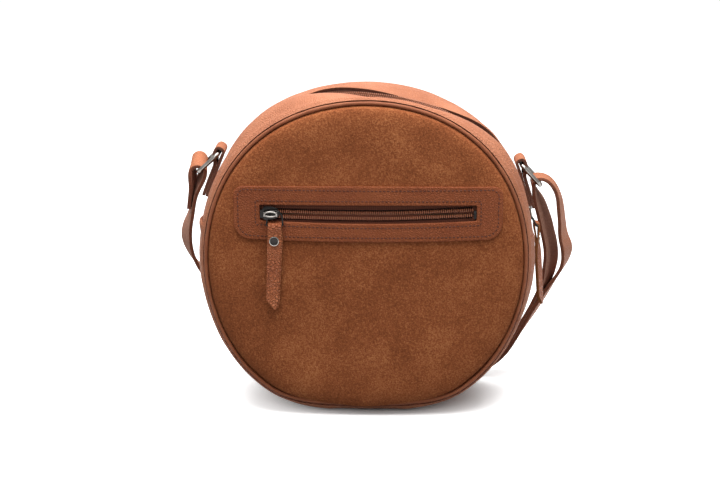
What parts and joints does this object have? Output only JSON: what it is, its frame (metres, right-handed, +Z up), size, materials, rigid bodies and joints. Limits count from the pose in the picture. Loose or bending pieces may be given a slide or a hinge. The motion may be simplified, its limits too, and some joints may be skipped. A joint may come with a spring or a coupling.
{
  "type": "shoulder bag",
  "caption": "Round zipped shoulder bag with a suede front, leather gusset, front zip pocket, zip pulls, ring tabs and an adjustable strap folded behind it.",
  "frame": {"origin": "middle of the flat patch of the base gusset that the bag rests on, at half the bag's depth", "axes": "+Z up, -Y is the suede front with the pocket, +X to the right seen from the front"},
  "size_m": [0.2592, 0.1093, 0.2091],
  "materials": {
    "suede": "napped suede",
    "leather": "smooth, low sheen",
    "piping_leather": "smooth, low sheen",
    "strap_leather": "smooth, low sheen",
    "pull_leather": "smooth, low sheen",
    "lining": "plain woven",
    "board": "matte",
    "piping_cord": "twisted",
    "zip_tape": "woven",
    "zip_coil": "satin",
    "gunmetal": "polished gunmetal plating"
  },
  "bodies": {
    "bag": {"front_panel": "suede", "back_panel": "suede", "front_stiffener": "board", "back_stiffener": "board", "front_lining": "lining", "back_lining": "lining", "front_piping": "piping_leather", "back_piping": "piping_leather", "front_piping_cord": "piping_cord", "back_piping_cord": "piping_cord", "base_gusset": "leather", "base_lining": "lining", "zip_strip_front": "leather", "zip_strip_back": "leather", "zip_strip_lining_front": "lining", "zip_strip_lining_back": "lining", "main_zip_tape_front": "zip_tape", "main_zip_tape_back": "zip_tape", "main_zip_coil_front": "zip_coil", "main_zip_coil_back": "zip_coil", "main_zip_stops": "gunmetal", "pocket_facing": "leather", "pocket_zip_tape_upper": "zip_tape", "pocket_zip_tape_lower": "zip_tape", "pocket_zip_coil_upper": "zip_coil", "pocket_zip_coil_lower": "zip_coil", "pocket_zip_stops": "gunmetal", "pocket_pouch_front": "lining", "pocket_pouch_back": "lining", "left_tab": "leather", "right_tab": "leather", "strap_left_run": "strap_leather", "strap_folds": "strap_leather", "strap_right_run": "strap_leather", "strap_return": "strap_leather", "strap_adjuster": "gunmetal"},
    "main_slider": {"main_slider": "gunmetal"},
    "main_link": {"main_pull_link": "gunmetal"},
    "main_pull": {"main_pull": "pull_leather", "main_pull_rivet": "gunmetal"},
    "pocket_slider": {"pocket_slider": "gunmetal"},
    "pocket_link": {"pocket_pull_link": "gunmetal"},
    "pocket_pull": {"pocket_pull": "pull_leather", "pocket_pull_rivet": "gunmetal"},
    "left_ring": {"left_ring": "gunmetal", "strap_left_end": "strap_leather"},
    "right_ring": {"right_ring": "gunmetal", "strap_right_end": "strap_leather"}
  },
  "joints": [
    {"name": "main_zip_travel", "type": "hinge", "parent": "bag", "child": "main_slider", "pos_m": [0, 0, 0.102], "axis": [0, -1, 0], "range_deg": [0, 149]},
    {"name": "main_link_swing", "type": "hinge", "parent": "main_slider", "child": "main_link", "pos_m": [0.10533, 0, 0.12632], "axis": [0, -1, 0], "range_deg": [0, 100]},
    {"name": "main_pull_swing", "type": "hinge", "parent": "main_link", "child": "main_pull", "pos_m": [0.11036, 0, 0.11826], "axis": [0, -1, 0], "range_deg": [0, 60]},
    {"name": "pocket_zip_travel", "type": "slide", "parent": "bag", "child": "pocket_slider", "axis": [1, 0, 0], "range_m": [0, 0.12]},
    {"name": "pocket_link_swing", "type": "hinge", "parent": "pocket_slider", "child": "pocket_link", "pos_m": [-0.0605, -0.0448, 0.134], "axis": [0, 0, -1], "range_deg": [0, 90]},
    {"name": "pocket_pull_swing", "type": "hinge", "parent": "pocket_link", "child": "pocket_pull", "pos_m": [-0.055, -0.0448, 0.1272], "axis": [-1, 0, 0], "range_deg": [0, 110]},
    {"name": "left_ring_swing", "type": "hinge", "parent": "bag", "child": "left_ring", "pos_m": [-0.09704, 0.02, 0.1624], "axis": [0, 1, 0], "range_deg": [0, 25]},
    {"name": "right_ring_swing", "type": "hinge", "parent": "bag", "child": "right_ring", "pos_m": [0.10111, 0.02, 0.15531], "axis": [0, -1, 0], "range_deg": [0, 25]}
  ]
}
